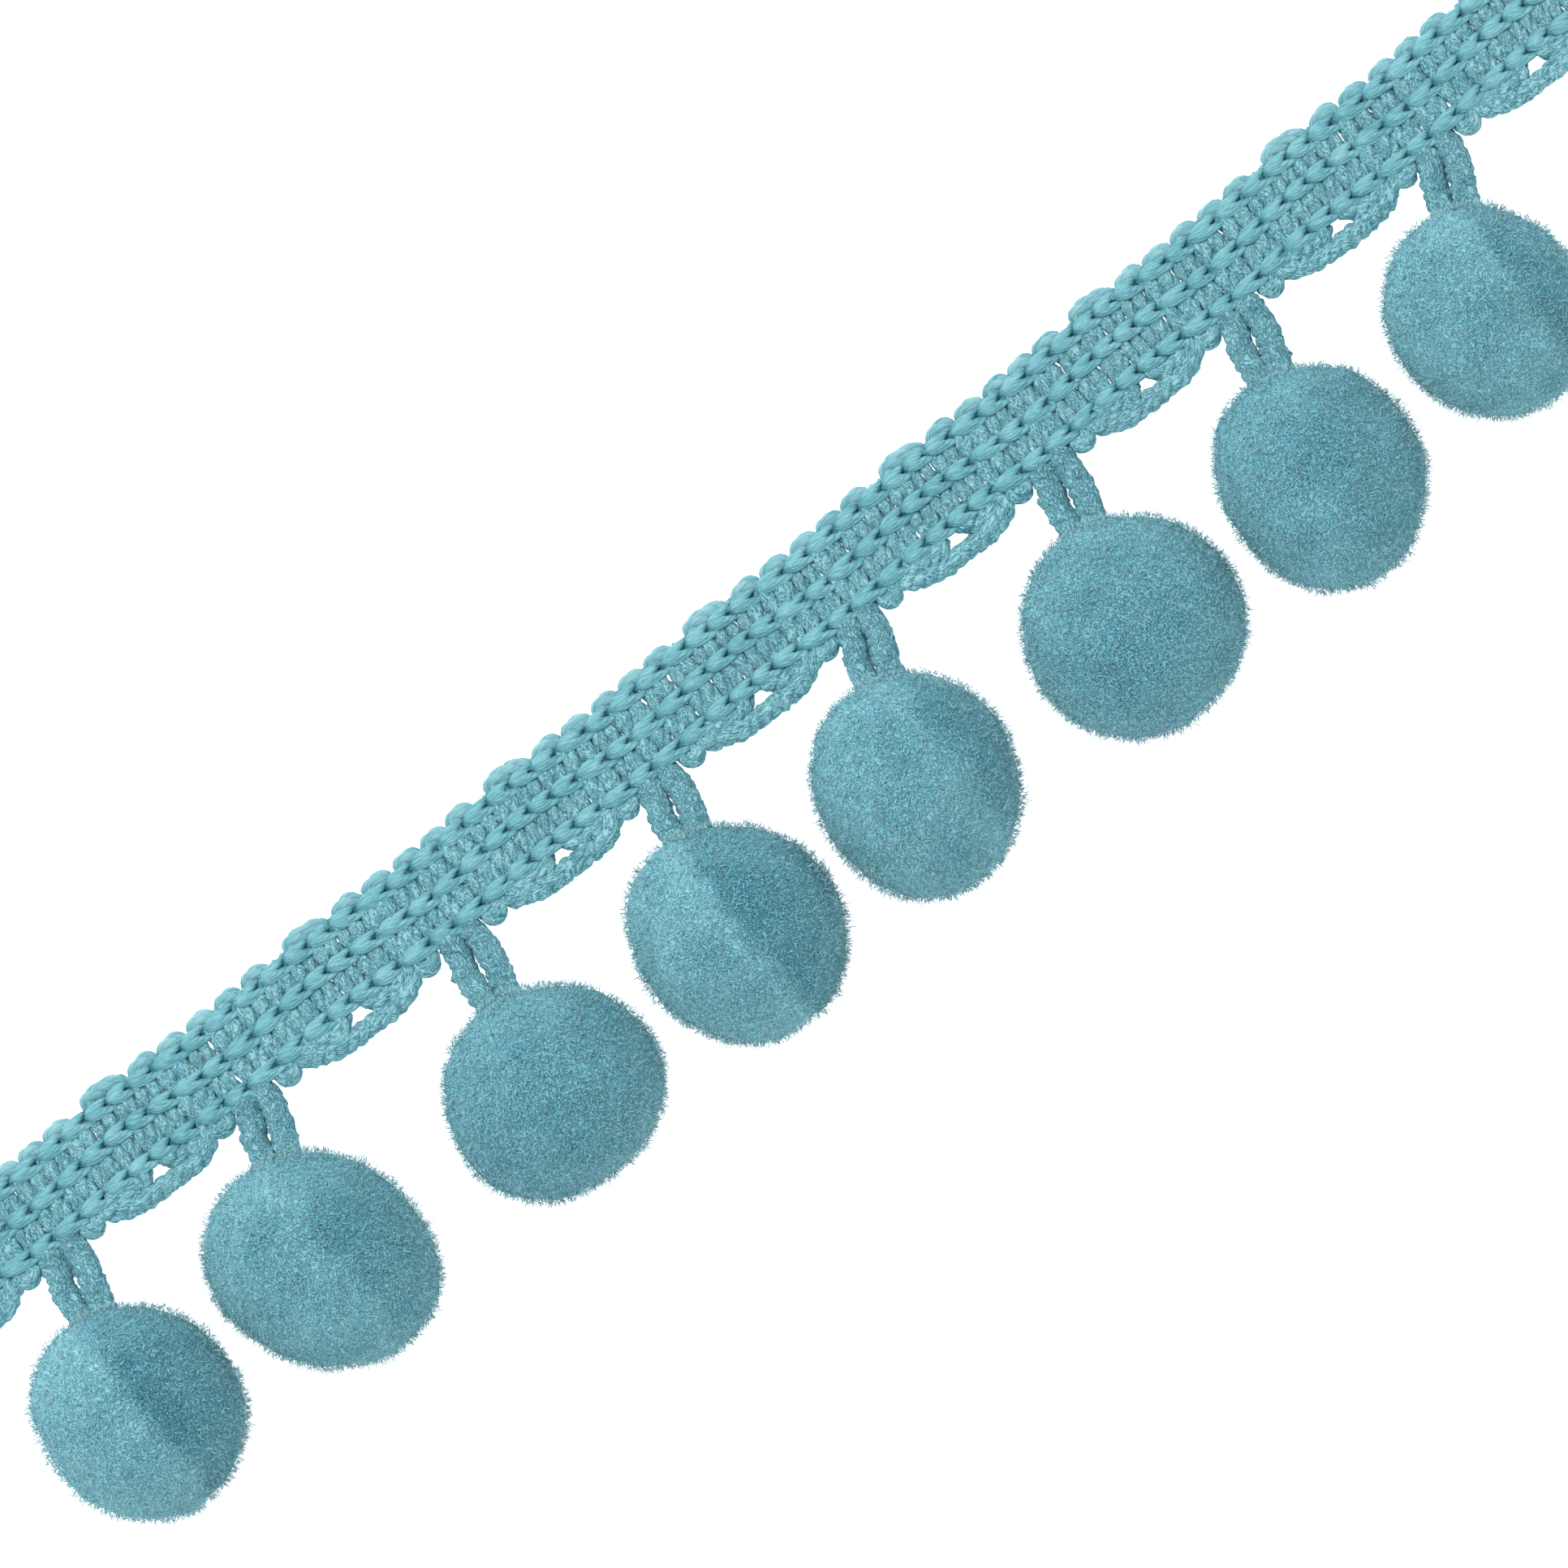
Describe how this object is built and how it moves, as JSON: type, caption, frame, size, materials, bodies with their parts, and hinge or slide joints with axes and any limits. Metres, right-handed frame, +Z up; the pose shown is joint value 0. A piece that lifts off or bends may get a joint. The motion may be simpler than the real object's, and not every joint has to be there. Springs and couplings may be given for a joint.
{
  "type": "pompom fringe trim",
  "caption": "Length of knitted braid with a scalloped lower edge and soft pile balls hung from looped cords, sewn along hems, cushions and curtains as an edging.",
  "frame": {"origin": "on the braid's flat underside at its mid-length, 4.5 mm in from its lower edge at a hanger", "axes": "+X along the braid, -Y from the braid towards the pompoms, +Z up off the surface that the trim lies on"},
  "size_m": [0.2, 0.0381, 0.0207],
  "materials": {
    "braid_gimp": "teal textured yarn, satin chain stitches over crimped matt wefts",
    "hanger_cord": "teal crimped cord, matt and slightly fuzzy",
    "pompom_pile": "teal trimmed pile, soft and matt"
  },
  "bodies": {
    "root": {"braid": "braid_gimp", "hanger_1": "hanger_cord", "hanger_2": "hanger_cord", "hanger_3": "hanger_cord", "hanger_4": "hanger_cord", "hanger_5": "hanger_cord", "hanger_6": "hanger_cord", "hanger_7": "hanger_cord", "hanger_8": "hanger_cord", "pompom_1": "pompom_pile", "pompom_2": "pompom_pile", "pompom_3": "pompom_pile", "pompom_4": "pompom_pile", "pompom_5": "pompom_pile", "pompom_6": "pompom_pile", "pompom_7": "pompom_pile", "pompom_8": "pompom_pile"}
  },
  "joints": []
}
